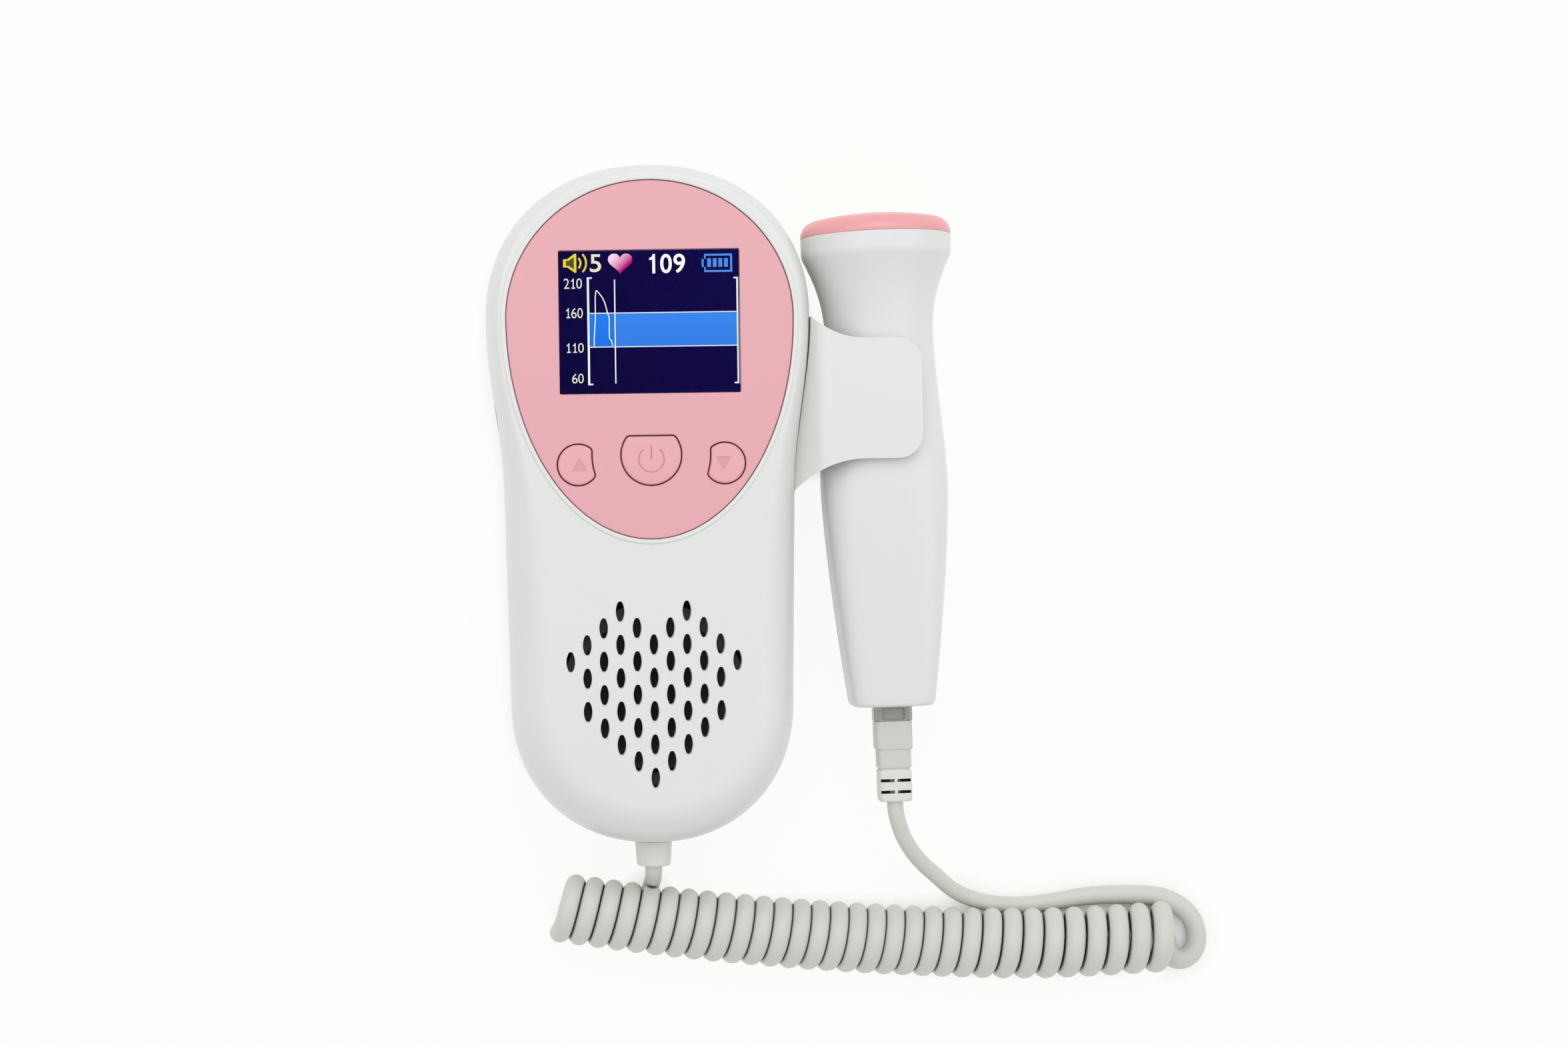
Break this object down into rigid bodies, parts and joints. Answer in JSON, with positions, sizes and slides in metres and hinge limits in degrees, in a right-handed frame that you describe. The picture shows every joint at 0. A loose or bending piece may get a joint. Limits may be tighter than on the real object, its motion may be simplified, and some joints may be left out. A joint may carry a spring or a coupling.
{
  "type": "fetal doppler monitor",
  "caption": "Handheld fetal doppler monitor with a colour screen, a heart of sound slots, a side cradle and a probe on a curly cord.",
  "frame": {"origin": "on the flat of the back, at the middle of the body: half-way up its length and on its centre line", "axes": "+X towards the cradle and the probe, +Y towards the top of the screen, +Z out of the front face; the monitor lies on its back"},
  "size_m": [0.1468, 0.1653, 0.0314],
  "materials": {
    "shell": "fine satin moulding",
    "panel": "satin pink moulding",
    "cap": "satin pink moulding",
    "window": "clear polished",
    "display": "dark glass over a steel tray",
    "board": "green solder mask on glass-fibre board",
    "dark_parts": "moulded black",
    "steel": "nickel plated",
    "paper": "pressed paper",
    "foam": "closed-cell foam",
    "cells": "printed film sleeve on a steel can",
    "crystal": "silvered ceramic",
    "backing": "filled epoxy",
    "leads": "extruded",
    "moulding": "satin flexible vinyl",
    "cord": "satin polyurethane sheath"
  },
  "bodies": {
    "monitor": {"front_shell": "shell", "rear_shell": "shell", "front_panel": "panel", "screen_window": "window", "display_module": "display", "main_board": "board", "board_parts": "dark_parts", "board_screws": "steel", "tact_switches": "dark_parts", "headphone_jack": "dark_parts", "speaker_frame": "steel", "speaker_cone": "paper", "speaker_magnet": "steel", "speaker_gasket": "foam", "case_screws": "steel", "battery_cells": "cells", "battery_contacts": "steel", "battery_springs": "steel", "cord_gland": "cord", "probe_holder": "shell", "cord_tail": "cord", "curly_cord": "cord", "cord_lead": "cord"},
    "power": {"power_button": "panel"},
    "up": {"up_button": "panel"},
    "down": {"down_button": "panel"},
    "cover": {"battery_cover": "shell"},
    "probe": {"probe_front_shell": "shell", "probe_rear_shell": "shell", "probe_cap": "cap", "piezo_crystals": "crystal", "crystal_backing": "backing", "crystal_leads": "leads", "probe_board": "board", "probe_socket": "dark_parts"},
    "plug": {"plug_shell": "steel", "plug_core": "moulding", "plug_body": "moulding", "plug_boot": "moulding"}
  },
  "joints": [
    {"name": "power_press", "type": "slide", "parent": "monitor", "child": "power", "axis": [0, 0, -1], "range_m": [0, 0.0006], "stiffness_N_per_m": 2000, "springref_m": -0.0002},
    {"name": "up_press", "type": "slide", "parent": "monitor", "child": "up", "axis": [0, 0, -1], "range_m": [0, 0.0006], "stiffness_N_per_m": 2000, "springref_m": -0.0002},
    {"name": "down_press", "type": "slide", "parent": "monitor", "child": "down", "axis": [0, 0, -1], "range_m": [0, 0.0006], "stiffness_N_per_m": 2000, "springref_m": -0.0002},
    {"name": "battery_cover_tilt", "type": "hinge", "parent": "monitor", "child": "cover", "pos_m": [0, -0.0045, 0.0011], "axis": [1, 0, 0], "range_deg": [0, 75]},
    {"name": "probe_release", "type": "slide", "parent": "monitor", "child": "probe", "axis": [0.9998, 0.0213, 0], "range_m": [0, 0.028], "deforming": ["cord_lead"]},
    {"name": "plug_pull", "type": "slide", "parent": "probe", "child": "plug", "axis": [0.0213, -0.9998, 0], "range_m": [0, 0.006], "deforming": ["cord_lead"]}
  ]
}
